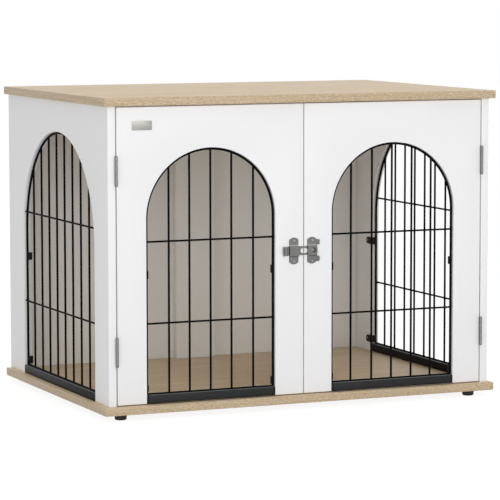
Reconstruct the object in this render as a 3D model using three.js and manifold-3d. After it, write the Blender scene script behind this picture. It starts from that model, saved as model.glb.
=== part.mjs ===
// Dog crate end table: a white board cabinet with an oak top and base, arched wire grilles in both
// sides and both doors, butt hinges, and a slide bolt that holds the doors shut.
// Millimetres. X runs to the right along the front, Y runs to the back and Z runs up.
// The origin is the middle of the footprint, on the floor.

import * as THREE from 'three';
import { mergeVertices } from 'three/addons/utils/BufferGeometryUtils.js';
import Module from 'manifold-3d';

const wasm = await Module();
wasm.setup();

// ---------------------------------------------------------------- driving dimensions

const WIDTH = 800; // tabletop and base board
const DEPTH = 568;
const BOARD = 15; // thickness of every board but the back
const BACK_BOARD = 12;
const OVERHANG = 10; // tabletop and base past the body, at the front and both sides
const PANEL_HEIGHT = 549; // clear height between the base board and the tabletop
const FOOT_HEIGHT = 12;
const FOOT_RADIUS = 12;
const FOOT_TAPER = 1; // narrower at the floor
const FOOT_RIM = 3; // height of the rounded lower rim
const FOOT_INSET_SIDE = 40; // foot centre from the base board's end
const FOOT_INSET_FRONT = 30; // foot centre from the base board's front and back edges
const SEAT = 0.3; // gap between pieces that rest on each other
const EDGE_ROUND = 1; // rounded edge of the tabletop and base
const EDGE_CHAMFER = 0.5; // broken edge of the white boards

const STILE_WIDTH = 84; // inside the back, over the joint of its two boards

const DOOR_GAP_HINGE = 2.4;
const DOOR_GAP_TOP = 2.3;
const DOOR_GAP_CENTRE = 2;
const DOOR_ARCH_RADIUS = 128.9;
const DOOR_ARCH_SPRING = 338.6; // above the door's lower edge
const SIDE_ARCH_RADIUS = 200.6;
const SIDE_ARCH_SPRING = 287.7; // above the side panel's lower edge
const SIDE_ARCH_FROM_FRONT = 272.8; // middle of the arch behind the panel's front edge

const FRAME_WIRE = 4.5; // diameters
const BAR_WIRE = 3.5;
const CROSS_WIRE = 3;
const FRAME_SIDES = 8; // facets of the frame wire
const BAR_SIDES = 6; // facets of the thinner wires
const WELD_SINK = 0.5; // how far crossing wires melt into each other
const GRILLE_FROM_JAMB = 2.6; // frame wire's centre to the board's cut edge
const DOOR_GRILLE_FROM_FACE = 6.5; // frame wire's centre behind the board's outer face
const SIDE_GRILLE_FROM_FACE = 7.05;
const DOOR_BARS = [-82.4, -41.5, 0.5, 42.4, 86.2]; // from the arch's middle, away from the hinges
const SIDE_BARS = [-156.1, -110.2, -66.4, -22.4, 21.3, 65.6, 110.3, 155]; // and towards the front
const DOOR_CROSS_HEIGHTS = [147.2, 297.7];
const SIDE_CROSS_HEIGHTS = [144.7, 321.2];
const ARCH_STEP = 8; // length of the facets along the bent frame wire
const LEG_OVERLAP = 0.4; // straight frame wire into the bent one

const RAIL_HEIGHT = 16;
const RAIL_WALL = 1.2;
const RAIL_ROUND = 1.5;
const CAP_THICK = 3.5;
const CAP_PLUG = 6;

const CLIP_HEIGHT = 14.5;
const CLIP_FOOT_REACH = 24; // along the board's inner face, away from the opening
const CLIP_FOOT_THICK = 1.6;
const CLIP_ARM_THICK = 3.5; // off the jamb
const CLIP_CRADLE_THICK = 5.9; // off the jamb, round the frame wire
const CLIP_CRADLE_FLARE = 4.9; // where the arm starts to widen, before the wire's middle
const CLIP_CRADLE_FULL = 2.5; // where the cradle has its full width
const CLIP_CRADLE_LIP = 1.1; // past the wire's middle, towards the outer face
const DOOR_CLIP_HEIGHTS = [26.8, 236.7];
const SIDE_CLIP_HEIGHTS = [25.6, 232];

const HINGE_HEIGHT = 53.5;
const HINGE_CENTRES = [100.5, 431]; // above the base board
const HINGE_AXIS_IN = 15.6; // pin behind the side panel's outer face, sideways
const HINGE_AXIS_OUT = 3; // pin in front of the doors' face
const KNUCKLES = 5;
const KNUCKLE_RADIUS = 2.7;
const KNUCKLE_GAP = 0.3;
const PIN_RADIUS = 1.35;
const PIN_CLEARANCE = 0.15;
const PIN_HEAD_RADIUS = 2.2;
const PIN_HEAD = 0.9;
const PIN_HEAD_TAPER = 0.6; // end of the head against its full radius
const LEAF_THICK = 0.8;
const LEAF_GAP = 0.2; // leaf to the board it is screwed to
const LEAF_DEPTH = 14;
const LEAF_SETBACK = 0.4; // leaf's full-height part behind the doors' face

const LATCH_CENTRE = 272; // above the base board
const PLATE_WIDTH = 18.6;
const PLATE_HEIGHT = 50.4;
const PLATE_THICK = 1.4;
const PLATE_END_RADIUS = 12;
const GUIDE_CENTRE = -20.8; // from the gap between the doors
const KEEPER_CENTRE = 16.2;
const STRAP_HALF = 9.6; // half the height of the raised strap
const STRAP_UNDERSIDE = 3.2; // above the door's face
const RISER_RUN = 1.6;
const EYE_RADIUS = 5.6;
const EYE_CENTRE = 17.8;
const EAR_REACH = 6;
const EAR_HEIGHT = 10.2;
const EAR_CENTRE = 15.6; // above and below the bolt's centre line
const EAR_TILT = THREE.MathUtils.degToRad(35);
const EAR_ROUND = 2.2;
const BOLT_THICK = 1.6;
const BOLT_LIFT = 0.4; // off the door's face
const BOLT_HEIGHT = 16.8;
const BOLT_LEFT = -39;
const BOLT_RIGHT = 27.6;
const BOLT_END_ROUND = 5;
const SLOT_LENGTH = 15.2;
const SLOT_HEIGHT = 9;
const CURL_RADIUS = 3.6; // middle of the rolled finger end
const CURL_TURN = THREE.MathUtils.degToRad(230);
const DOME_RADIUS = 4.3;
const DOME_RISE = 0.9;

// ---------------------------------------------------------------- derived places

const BODY_WIDTH = WIDTH - 2 * OVERHANG;
const BODY_DEPTH = DEPTH - OVERHANG;
const FRONT = OVERHANG - DEPTH / 2; // the doors' face and the side panels' front edges
const BACK = DEPTH / 2;
const BASE_TOP = FOOT_HEIGHT + BOARD;
const INNER_HALF = BODY_WIDTH / 2 - BOARD;
const DOOR_WIDTH = INNER_HALF - DOOR_GAP_HINGE - DOOR_GAP_CENTRE / 2;
const DOOR_HEIGHT = PANEL_HEIGHT - 2 * DOOR_GAP_TOP;
const GRILLE_FOOT = RAIL_HEIGHT + SEAT + FRAME_WIRE / 2; // middle of the wire across the arch's foot

// ---------------------------------------------------------------- materials

const finish = (color, roughness, metalness) => new THREE.MeshStandardMaterial({ color, roughness, metalness });
const oak = () => finish(0xd5c2a4, 0.55, 0);
const white = () => finish(0xf0f0ef, 0.5, 0);
const blackSteel = () => finish(0x1d1d1e, 0.45, 0.2);
const blackRail = () => finish(0x33363a, 0.4, 0.2);
const blackPlastic = () => finish(0x232323, 0.6, 0);
const zincSteel = () => finish(0x8c8c8b, 0.4, 0.9);
const rubber = () => finish(0x151515, 0.8, 0);

// ---------------------------------------------------------------- solids

function toSolid(geometry) {
  const bare = geometry.clone();
  for (const name of Object.keys(bare.attributes)) {
    if (name !== 'position') bare.deleteAttribute(name);
  }
  const merged = mergeVertices(bare, 1e-4);
  return new wasm.Manifold(new wasm.Mesh({
    numProp: 3,
    vertProperties: new Float32Array(merged.attributes.position.array),
    triVerts: new Uint32Array(merged.index.array),
  }));
}

function toGeometry(solid) {
  const mesh = solid.getMesh();
  const geometry = new THREE.BufferGeometry();
  geometry.setAttribute('position', new THREE.BufferAttribute(mesh.vertProperties, 3));
  geometry.setIndex(new THREE.BufferAttribute(mesh.triVerts, 1));
  return geometry;
}

function fuse(geometries) {
  return geometries.map(toSolid).reduce((whole, solid) => whole.add(solid));
}

function namedMesh(name, geometry, material) {
  const mesh = new THREE.Mesh(geometry, material);
  mesh.name = name;
  return mesh;
}

// Box between two corners.
function boxBetween(x0, y0, z0, x1, y1, z1) {
  const geometry = new THREE.BoxGeometry(Math.abs(x1 - x0), Math.abs(y1 - y0), Math.abs(z1 - z0));
  return geometry.translate((x0 + x1) / 2, (y0 + y1) / 2, (z0 + z1) / 2);
}

// Round rod between two points of the x-y plane, at height z.
function rod(x0, y0, x1, y1, z, diameter, sides) {
  const start = new THREE.Vector3(x0, y0, z);
  const end = new THREE.Vector3(x1, y1, z);
  const length = start.distanceTo(end);
  const geometry = new THREE.CylinderGeometry(diameter / 2, diameter / 2, length, sides);
  const along = end.clone().sub(start).normalize();
  const turn = new THREE.Quaternion().setFromUnitVectors(new THREE.Vector3(0, 1, 0), along);
  return geometry.applyQuaternion(turn).translate((x0 + x1) / 2, (y0 + y1) / 2, z);
}

function rectangle(x0, y0, x1, y1) {
  const shape = new THREE.Shape();
  shape.moveTo(x0, y0);
  shape.lineTo(x1, y0);
  shape.lineTo(x1, y1);
  shape.lineTo(x0, y1);
  shape.closePath();
  return shape;
}

// Rectangle about the origin with round corners.
function roundedRectangle(width, height, radius) {
  const right = width / 2;
  const top = height / 2;
  const shape = new THREE.Shape();
  shape.moveTo(-right + radius, -top);
  shape.lineTo(right - radius, -top);
  shape.absarc(right - radius, -top + radius, radius, -Math.PI / 2, 0);
  shape.lineTo(right, top - radius);
  shape.absarc(right - radius, top - radius, radius, 0, Math.PI / 2);
  shape.lineTo(-right + radius, top);
  shape.absarc(-right + radius, top - radius, radius, Math.PI / 2, Math.PI);
  shape.lineTo(-right, -top + radius);
  shape.absarc(-right + radius, -top + radius, radius, Math.PI, 1.5 * Math.PI);
  shape.closePath();
  return shape;
}

// Flat piece with broken edges: the outline is its full size, and z runs from 0 to the thickness.
function edgedSlab(shape, thickness, edge, edgeSteps, curveSegments) {
  const geometry = new THREE.ExtrudeGeometry(shape, {
    depth: thickness - 2 * edge,
    bevelThickness: edge,
    bevelSize: edge,
    bevelOffset: -edge,
    bevelSegments: edgeSteps,
    curveSegments,
  });
  return geometry.translate(0, 0, edge);
}

function flatSlab(shape, thickness, curveSegments) {
  return new THREE.ExtrudeGeometry(shape, { depth: thickness, bevelEnabled: false, curveSegments });
}

// ---------------------------------------------------------------- top, base, feet and back

function oakBoard(name, lowerFace) {
  const outline = rectangle(-WIDTH / 2, -DEPTH / 2, WIDTH / 2, DEPTH / 2);
  const board = namedMesh(name, edgedSlab(outline, BOARD, EDGE_ROUND, 2, 1), oak());
  board.position.z = lowerFace;
  return board;
}

// Turned glide with a rounded lower rim, seated under the base board.
function foot(name, x, y) {
  const floorRadius = FOOT_RADIUS - FOOT_TAPER;
  const profile = [
    new THREE.Vector2(0, 0),
    new THREE.Vector2(floorRadius - FOOT_RIM, 0),
    new THREE.Vector2(floorRadius - FOOT_RIM * 0.3, FOOT_RIM * 0.25),
    new THREE.Vector2(floorRadius, FOOT_RIM),
    new THREE.Vector2(FOOT_RADIUS, FOOT_HEIGHT - SEAT),
    new THREE.Vector2(0, FOOT_HEIGHT - SEAT),
  ];
  const geometry = new THREE.LatheGeometry(profile, 16).rotateX(Math.PI / 2);
  const glide = namedMesh(name, geometry, rubber());
  glide.position.set(x, y, 0);
  return glide;
}

// One half of the back, between the side panels.
function backPanel(name, side) {
  const inner = SEAT / 2;
  const outer = INNER_HALF - SEAT;
  const outline = rectangle(side * inner, SEAT, side * outer, PANEL_HEIGHT - SEAT);
  const panel = namedMesh(name, edgedSlab(outline, BACK_BOARD, EDGE_CHAMFER, 1, 1), white());
  panel.rotation.x = Math.PI / 2;
  panel.position.set(0, BACK, BASE_TOP);
  return panel;
}

function centreStile() {
  const half = STILE_WIDTH / 2;
  const outline = rectangle(-half, SEAT, half, PANEL_HEIGHT - SEAT);
  const stile = namedMesh('back_centre_stile', edgedSlab(outline, BOARD, EDGE_CHAMFER, 1, 1), white());
  stile.rotation.x = Math.PI / 2;
  stile.position.set(0, BACK - BACK_BOARD - SEAT, BASE_TOP);
  return stile;
}

// ---------------------------------------------------------------- arched boards
//
// Each arched board is modelled flat: x along its width, y up from its lower edge, and z from its
// inner face, at 0, to its outer face, at the board's thickness.

// Board whose opening stands on its lower edge and ends in a half circle.
function archedPanel(name, board) {
  const { width, height, centre, radius, spring } = board;
  const shape = new THREE.Shape();
  shape.moveTo(0, 0);
  shape.lineTo(centre - radius, 0);
  shape.lineTo(centre - radius, spring);
  shape.absarc(centre, spring, radius, Math.PI, 0, true);
  shape.lineTo(centre + radius, 0);
  shape.lineTo(width, 0);
  shape.lineTo(width, height);
  shape.lineTo(0, height);
  shape.closePath();
  return namedMesh(name, edgedSlab(shape, BOARD, EDGE_CHAMFER, 1, 20), white());
}

// Half circle from the right spring point over the top to the left one.
class HalfCircle extends THREE.Curve {
  constructor(centre, spring, radius, z) {
    super();
    Object.assign(this, { centre, spring, radius, z });
  }

  getPoint(t, target = new THREE.Vector3()) {
    const angle = Math.PI * t;
    const x = this.centre + this.radius * Math.cos(angle);
    const y = this.spring + this.radius * Math.sin(angle);
    return target.set(x, y, this.z);
  }
}

// Frame wire bent to the arch with a wire across its foot, upright bars butted to the frame, and
// cross bars lying on their outer side, all welded into one piece.
function grille(name, board) {
  const { centre, radius, spring, bars, crossHeights, level: z } = board;
  const reach = radius - GRILLE_FROM_JAMB;
  const foot = GRILLE_FOOT;
  const ring = new THREE.Shape().absarc(0, 0, FRAME_WIRE / 2, 0, 2 * Math.PI);
  const arch = new THREE.ExtrudeGeometry(ring, {
    steps: Math.round(reach / ARCH_STEP),
    curveSegments: FRAME_SIDES / 2,
    bevelEnabled: false,
    extrudePath: new HalfCircle(centre, spring, reach, z),
  });
  const left = centre - reach;
  const right = centre + reach;
  const corner = () => new THREE.SphereGeometry(FRAME_WIRE / 2, FRAME_SIDES, 4);
  const wires = [
    arch,
    rod(left, foot, left, spring + LEG_OVERLAP, z, FRAME_WIRE, FRAME_SIDES),
    rod(right, foot, right, spring + LEG_OVERLAP, z, FRAME_WIRE, FRAME_SIDES),
    rod(left, foot, right, foot, z, FRAME_WIRE, FRAME_SIDES),
    corner().translate(left, foot, z),
    corner().translate(right, foot, z),
  ];
  for (const bar of bars) {
    const x = centre + bar;
    const top = spring + Math.sqrt(reach ** 2 - bar ** 2);
    wires.push(rod(x, foot, x, top, z, BAR_WIRE, BAR_SIDES));
  }
  const crossLevel = z + (BAR_WIRE + CROSS_WIRE) / 2 - WELD_SINK;
  for (const height of crossHeights) {
    const rise = Math.max(0, height - spring);
    const half = Math.sqrt(reach ** 2 - rise ** 2);
    wires.push(rod(centre - half, height, centre + half, height, crossLevel, CROSS_WIRE, BAR_SIDES));
  }
  return namedMesh(name, toGeometry(fuse(wires)), blackSteel());
}

// Square tube that closes the foot of the arch.
function bottomRail(name, board) {
  const length = 2 * (board.radius - CAP_THICK - 2 * SEAT);
  const section = roundedRectangle(BOARD, RAIL_HEIGHT, RAIL_ROUND);
  section.holes.push(rectangle(
    -BOARD / 2 + RAIL_WALL,
    -RAIL_HEIGHT / 2 + RAIL_WALL,
    BOARD / 2 - RAIL_WALL,
    RAIL_HEIGHT / 2 - RAIL_WALL,
  ));
  const geometry = flatSlab(section, length, 3).translate(0, 0, -length / 2).rotateY(Math.PI / 2);
  const rail = namedMesh(name, geometry, blackRail());
  rail.position.set(board.centre, RAIL_HEIGHT / 2, BOARD / 2);
  return rail;
}

// End cap of the rail: a plate against the jamb with a plug inside the tube. side is -1 or 1.
function railCap(name, board, side) {
  const plugWidth = BOARD - 2 * RAIL_WALL - 2 * SEAT;
  const plugHeight = RAIL_HEIGHT - 2 * RAIL_WALL - 2 * SEAT;
  const plate = flatSlab(roundedRectangle(BOARD, RAIL_HEIGHT, RAIL_ROUND), CAP_THICK, 3);
  const plugOutline = rectangle(-plugWidth / 2, -plugHeight / 2, plugWidth / 2, plugHeight / 2);
  const plug = flatSlab(plugOutline, CAP_PLUG + 1, 1).translate(0, 0, CAP_THICK - 1);
  const geometry = toGeometry(fuse([plate, plug])).rotateY(-side * Math.PI / 2);
  const cap = namedMesh(name, geometry, blackPlastic());
  cap.position.set(board.centre + side * (board.radius - SEAT), RAIL_HEIGHT / 2, BOARD / 2);
  return cap;
}

// Clip on one jamb: a foot on the board's inner face, and an arm along the jamb that widens into a
// cradle behind the frame wire. side is -1 at the opening's left jamb and 1 at its right one.
function grilleClip(name, board, side, height) {
  const { level } = board;
  const jamb = board.centre + side * board.radius;
  const at = (inward) => jamb - side * inward; // distance into the opening
  const low = height - CLIP_HEIGHT / 2;
  const high = height + CLIP_HEIGHT / 2;
  const back = -SEAT - CLIP_FOOT_THICK;

  const section = new THREE.Shape();
  section.moveTo(at(SEAT), -back);
  section.lineTo(at(CLIP_ARM_THICK), -back);
  section.lineTo(at(CLIP_ARM_THICK), CLIP_CRADLE_FLARE - level);
  section.lineTo(at(CLIP_CRADLE_THICK), CLIP_CRADLE_FULL - level);
  section.lineTo(at(CLIP_CRADLE_THICK), -CLIP_CRADLE_LIP - level);
  section.lineTo(at(SEAT), -CLIP_CRADLE_LIP - level);
  section.closePath();
  const arm = flatSlab(section, CLIP_HEIGHT, 1).rotateX(-Math.PI / 2).translate(0, low, 0);

  const footOutline = new THREE.Shape();
  const end = at(-CLIP_FOOT_REACH + CLIP_HEIGHT / 2);
  footOutline.moveTo(at(CLIP_ARM_THICK - 1), low);
  footOutline.lineTo(end, low);
  footOutline.absarc(end, height, CLIP_HEIGHT / 2, -Math.PI / 2, Math.PI / 2, side < 0);
  footOutline.lineTo(at(CLIP_ARM_THICK - 1), high);
  footOutline.closePath();
  const footPlate = flatSlab(footOutline, CLIP_FOOT_THICK, 3).translate(0, 0, back);

  const clearance = FRAME_WIRE / 2 + SEAT;
  const wire = at(GRILLE_FROM_JAMB);
  const beyond = at(2 * CLIP_CRADLE_THICK);
  const cuts = [
    rod(wire, low - 1, wire, high + 1, level, 2 * clearance, FRAME_SIDES),
    boxBetween(at(-1), low - 1, level, at(GRILLE_FROM_JAMB + clearance), high + 1, level + clearance),
    rod(wire, GRILLE_FOOT, beyond, GRILLE_FOOT, level, 2 * clearance, FRAME_SIDES),
  ];
  return namedMesh(name, toGeometry(fuse([arm, footPlate]).subtract(fuse(cuts))), blackPlastic());
}

// The board with all that it carries. jambs names the opening's left and right sides.
function archedBoard(name, board, jambs) {
  const group = new THREE.Group();
  group.add(archedPanel(`${name}_panel`, board));
  group.add(grille(`${name}_grille`, board));
  group.add(bottomRail(`${name}_rail`, board));
  jambs.forEach((jamb, index) => {
    const side = index === 0 ? -1 : 1;
    group.add(railCap(`${name}_rail_cap_${jamb}`, board, side));
    group.add(grilleClip(`${name}_clip_lower_${jamb}`, board, side, board.clipHeights[0]));
    group.add(grilleClip(`${name}_clip_upper_${jamb}`, board, side, board.clipHeights[1]));
  });
  return group;
}

const doorBoard = {
  width: DOOR_WIDTH,
  height: DOOR_HEIGHT,
  centre: DOOR_WIDTH / 2,
  radius: DOOR_ARCH_RADIUS,
  spring: DOOR_ARCH_SPRING,
  level: BOARD - DOOR_GRILLE_FROM_FACE,
  crossHeights: DOOR_CROSS_HEIGHTS,
  clipHeights: DOOR_CLIP_HEIGHTS,
};

const sideBoard = {
  width: BODY_DEPTH,
  height: PANEL_HEIGHT - 2 * SEAT,
  radius: SIDE_ARCH_RADIUS,
  spring: SIDE_ARCH_SPRING,
  level: BOARD - SIDE_GRILLE_FROM_FACE,
  crossHeights: SIDE_CROSS_HEIGHTS,
  clipHeights: SIDE_CLIP_HEIGHTS,
};

// A door stands with its outer face to the front. side is -1 for the left door and 1 for the right one.
function door(name, side, leftEdge) {
  const bars = DOOR_BARS.map((bar) => -side * bar);
  const leaf = archedBoard(name, { ...doorBoard, bars }, ['left', 'right']);
  leaf.rotation.x = Math.PI / 2;
  leaf.position.set(leftEdge, FRONT + BOARD, BASE_TOP + DOOR_GAP_TOP);
  return leaf;
}

// A side panel is stood up, then turned so that its outer face looks left (-1) or right (1).
function sidePanel(name, side) {
  const fromLeft = side < 0 ? BODY_DEPTH - SIDE_ARCH_FROM_FRONT : SIDE_ARCH_FROM_FRONT;
  const jambs = side < 0 ? ['back', 'front'] : ['front', 'back'];
  const bars = SIDE_BARS.map((bar) => -side * bar);
  const upright = archedBoard(name, { ...sideBoard, centre: fromLeft, bars }, jambs);
  upright.rotation.x = Math.PI / 2;
  const turned = new THREE.Group();
  turned.add(upright);
  turned.rotation.z = side * Math.PI / 2;
  turned.position.set(side * INNER_HALF, side < 0 ? BACK : FRONT, BASE_TOP + SEAT);
  return turned;
}

// ---------------------------------------------------------------- butt hinges

// A leaf with its share of the knuckles. side is -1 at the left side panel and 1 at the right one.
function hingeLeaf(name, side, centre, outerFace, isCabinet) {
  const axisX = side * (BODY_WIDTH / 2 - HINGE_AXIS_IN);
  const axisY = FRONT - HINGE_AXIS_OUT;
  const low = centre - HINGE_HEIGHT / 2;
  const pitch = HINGE_HEIGHT / KNUCKLES;
  const near = side * outerFace;
  const far = side * (outerFace - LEAF_THICK);
  const leaf = [boxBetween(near, FRONT + LEAF_SETBACK, low, far, FRONT + LEAF_DEPTH, low + HINGE_HEIGHT)];
  for (let i = isCabinet ? 0 : 1; i < KNUCKLES; i += 2) {
    const bottom = low + i * pitch + KNUCKLE_GAP / 2;
    const top = low + (i + 1) * pitch - KNUCKLE_GAP / 2;
    const barrel = new THREE.CylinderGeometry(KNUCKLE_RADIUS, KNUCKLE_RADIUS, top - bottom, 12);
    leaf.push(barrel.rotateX(Math.PI / 2).translate(axisX, axisY, (bottom + top) / 2));
    leaf.push(boxBetween(near, axisY, bottom, far, FRONT + LEAF_SETBACK + 1, top));
  }
  const boreRadius = PIN_RADIUS + PIN_CLEARANCE;
  const bore = new THREE.CylinderGeometry(boreRadius, boreRadius, HINGE_HEIGHT + 2, 8);
  bore.rotateX(Math.PI / 2).translate(axisX, axisY, centre);
  return namedMesh(name, toGeometry(fuse(leaf).subtract(toSolid(bore))), zincSteel());
}

// Pin with a head above and below the knuckles.
function hingePin(name, side, centre) {
  const half = HINGE_HEIGHT / 2 + KNUCKLE_GAP / 2;
  const profile = [
    new THREE.Vector2(0, -half - PIN_HEAD),
    new THREE.Vector2(PIN_HEAD_RADIUS * PIN_HEAD_TAPER, -half - PIN_HEAD),
    new THREE.Vector2(PIN_HEAD_RADIUS, -half),
    new THREE.Vector2(PIN_RADIUS, -half),
    new THREE.Vector2(PIN_RADIUS, half),
    new THREE.Vector2(PIN_HEAD_RADIUS, half),
    new THREE.Vector2(PIN_HEAD_RADIUS * PIN_HEAD_TAPER, half + PIN_HEAD),
    new THREE.Vector2(0, half + PIN_HEAD),
  ];
  const pin = namedMesh(name, new THREE.LatheGeometry(profile, 8), zincSteel());
  pin.rotation.x = Math.PI / 2;
  pin.position.set(side * (BODY_WIDTH / 2 - HINGE_AXIS_IN), FRONT - HINGE_AXIS_OUT, centre);
  return pin;
}

function hinge(name, side, heightAboveBase) {
  const centre = BASE_TOP + heightAboveBase;
  const cabinetFace = INNER_HALF - LEAF_GAP;
  const doorFace = INNER_HALF - DOOR_GAP_HINGE + LEAF_GAP + LEAF_THICK;
  const group = new THREE.Group();
  group.add(hingeLeaf(`${name}_cabinet_leaf`, side, centre, cabinetFace, true));
  group.add(hingeLeaf(`${name}_door_leaf`, side, centre, doorFace, false));
  group.add(hingePin(`${name}_pin`, side, centre));
  return group;
}

// ---------------------------------------------------------------- latch
//
// The latch is modelled flat: x to the right from the gap between the doors, y up from the bolt's
// centre line, and z out from the doors' face.

// Pressed plate with domed ends whose middle is raised into a strap over the bolt.
function strapPlate(centre) {
  const half = PLATE_HEIGHT / 2;
  const back = LEAF_GAP;
  const front = LEAF_GAP + PLATE_THICK;
  const strapFront = STRAP_UNDERSIDE + PLATE_THICK;
  const foot = STRAP_HALF + RISER_RUN;
  const section = new THREE.Shape();
  section.moveTo(back, -half);
  section.lineTo(front, -half);
  section.lineTo(front, -foot);
  section.lineTo(strapFront, -STRAP_HALF);
  section.lineTo(strapFront, STRAP_HALF);
  section.lineTo(front, foot);
  section.lineTo(front, half);
  section.lineTo(back, half);
  section.lineTo(back, foot - PLATE_THICK / 2);
  section.lineTo(STRAP_UNDERSIDE, STRAP_HALF - PLATE_THICK / 2);
  section.lineTo(STRAP_UNDERSIDE, -STRAP_HALF + PLATE_THICK / 2);
  section.lineTo(back, -foot + PLATE_THICK / 2);
  section.closePath();
  const pressed = flatSlab(section, PLATE_WIDTH, 1).rotateY(-Math.PI / 2).translate(PLATE_WIDTH / 2, 0, 0);

  const reach = PLATE_WIDTH / 2;
  const arcCentre = half - PLATE_END_RADIUS;
  const sweep = Math.asin(reach / PLATE_END_RADIUS);
  const outline = new THREE.Shape();
  outline.absarc(0, arcCentre, PLATE_END_RADIUS, Math.PI / 2 - sweep, Math.PI / 2 + sweep);
  outline.absarc(0, -arcCentre, PLATE_END_RADIUS, 1.5 * Math.PI - sweep, 1.5 * Math.PI + sweep);
  outline.closePath();
  const blank = flatSlab(outline, 2 * strapFront, 8).translate(0, 0, -strapFront / 2);
  return toSolid(pressed).intersect(toSolid(blank)).translate([centre, 0, 0]);
}

function boltGuide() {
  return namedMesh('bolt_guide', toGeometry(strapPlate(GUIDE_CENTRE)), zincSteel());
}

// Ear of the keeper: a tab on the plate's right edge, bent forward.
function keeperEar(sign) {
  const root = PLATE_THICK;
  const tab = roundedRectangle(EAR_REACH + root, EAR_HEIGHT, EAR_ROUND);
  const geometry = flatSlab(tab, PLATE_THICK, 4).translate((EAR_REACH + root) / 2 - root, 0, -PLATE_THICK);
  geometry.rotateY(-EAR_TILT);
  return geometry.translate(KEEPER_CENTRE + PLATE_WIDTH / 2, sign * EAR_CENTRE, LEAF_GAP + PLATE_THICK);
}

function boltKeeper() {
  const eye = new THREE.CylinderGeometry(EYE_RADIUS, EYE_RADIUS, 4 * PLATE_THICK, 24);
  eye.rotateX(Math.PI / 2).translate(EYE_CENTRE, 0, STRAP_UNDERSIDE + PLATE_THICK);
  const door = boxBetween(0, -PLATE_HEIGHT, -10, 2 * PLATE_HEIGHT, PLATE_HEIGHT, LEAF_GAP);
  const solid = strapPlate(KEEPER_CENTRE)
    .subtract(toSolid(eye))
    .add(toSolid(keeperEar(1)))
    .add(toSolid(keeperEar(-1)))
    .subtract(toSolid(door));
  return namedMesh('bolt_keeper', toGeometry(solid), zincSteel());
}

// Flat bar with a slot, a shallow dome under the keeper's eye, and its left end rolled forward.
function slideBolt() {
  const half = BOLT_HEIGHT / 2;
  const slotHalf = SLOT_LENGTH / 2 - SLOT_HEIGHT / 2;
  const bar = new THREE.Shape();
  bar.moveTo(BOLT_LEFT, -half);
  bar.lineTo(BOLT_RIGHT - BOLT_END_ROUND, -half);
  bar.absarc(BOLT_RIGHT - BOLT_END_ROUND, -half + BOLT_END_ROUND, BOLT_END_ROUND, -Math.PI / 2, 0);
  bar.absarc(BOLT_RIGHT - BOLT_END_ROUND, half - BOLT_END_ROUND, BOLT_END_ROUND, 0, Math.PI / 2);
  bar.lineTo(BOLT_LEFT, half);
  bar.closePath();
  const slot = new THREE.Path();
  slot.absarc(slotHalf, 0, SLOT_HEIGHT / 2, -Math.PI / 2, Math.PI / 2);
  slot.absarc(-slotHalf, 0, SLOT_HEIGHT / 2, Math.PI / 2, 1.5 * Math.PI);
  slot.closePath();
  bar.holes.push(slot);
  const strip = flatSlab(bar, BOLT_THICK, 8).translate(0, 0, BOLT_LIFT);

  const outer = CURL_RADIUS + BOLT_THICK / 2;
  const inner = CURL_RADIUS - BOLT_THICK / 2;
  const start = -Math.PI / 2 + 0.05;
  const end = start - CURL_TURN;
  const roll = new THREE.Shape();
  roll.absarc(0, 0, outer, start, end, true);
  roll.absarc(0, 0, inner, end, start, false);
  roll.closePath();
  const curl = flatSlab(roll, BOLT_HEIGHT, 16).rotateX(Math.PI / 2);
  curl.translate(BOLT_LEFT, half, BOLT_LIFT + BOLT_THICK / 2 + CURL_RADIUS);

  const domeProfile = [
    new THREE.Vector2(0, -BOLT_THICK / 2),
    new THREE.Vector2(DOME_RADIUS, -BOLT_THICK / 2),
    new THREE.Vector2(DOME_RADIUS, 0),
    new THREE.Vector2(DOME_RADIUS * 0.72, DOME_RISE * 0.55),
    new THREE.Vector2(DOME_RADIUS * 0.35, DOME_RISE * 0.9),
    new THREE.Vector2(0, DOME_RISE),
  ];
  const dome = new THREE.LatheGeometry(domeProfile, 16).rotateX(Math.PI / 2);
  dome.translate(EYE_CENTRE, 0, BOLT_LIFT + BOLT_THICK);
  return namedMesh('slide_bolt', toGeometry(fuse([strip, curl, dome])), zincSteel());
}

function latch() {
  const group = new THREE.Group();
  group.add(boltGuide(), boltKeeper(), slideBolt());
  group.rotation.x = Math.PI / 2;
  group.position.set(0, FRONT, BASE_TOP + LATCH_CENTRE);
  return group;
}

// ---------------------------------------------------------------- the whole table

const table = new THREE.Group();
table.add(oakBoard('tabletop', BASE_TOP + PANEL_HEIGHT));
table.add(oakBoard('base_board', FOOT_HEIGHT));
for (const [end, x] of [['left', -1], ['right', 1]]) {
  for (const [edge, y] of [['front', -1], ['back', 1]]) {
    const footX = x * (WIDTH / 2 - FOOT_INSET_SIDE);
    const footY = y * (DEPTH / 2 - FOOT_INSET_FRONT);
    table.add(foot(`foot_${edge}_${end}`, footX, footY));
  }
  table.add(backPanel(`${end}_back_panel`, x));
  table.add(sidePanel(`${end}_side`, x));
  table.add(hinge(`${end}_lower_hinge`, x, HINGE_CENTRES[0]));
  table.add(hinge(`${end}_upper_hinge`, x, HINGE_CENTRES[1]));
}
table.add(centreStile());
table.add(door('left_door', -1, -INNER_HALF + DOOR_GAP_HINGE));
table.add(door('right_door', 1, DOOR_GAP_CENTRE / 2));
table.add(latch());

export default table;
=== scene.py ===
"""Looks of the dog crate end table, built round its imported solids.

Shapes are worked out in millimetres, x to the right along the doors, y to the back, z up, from the
middle of the footprint on the floor, and reach the meshes in metres.
"""

import math

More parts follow.
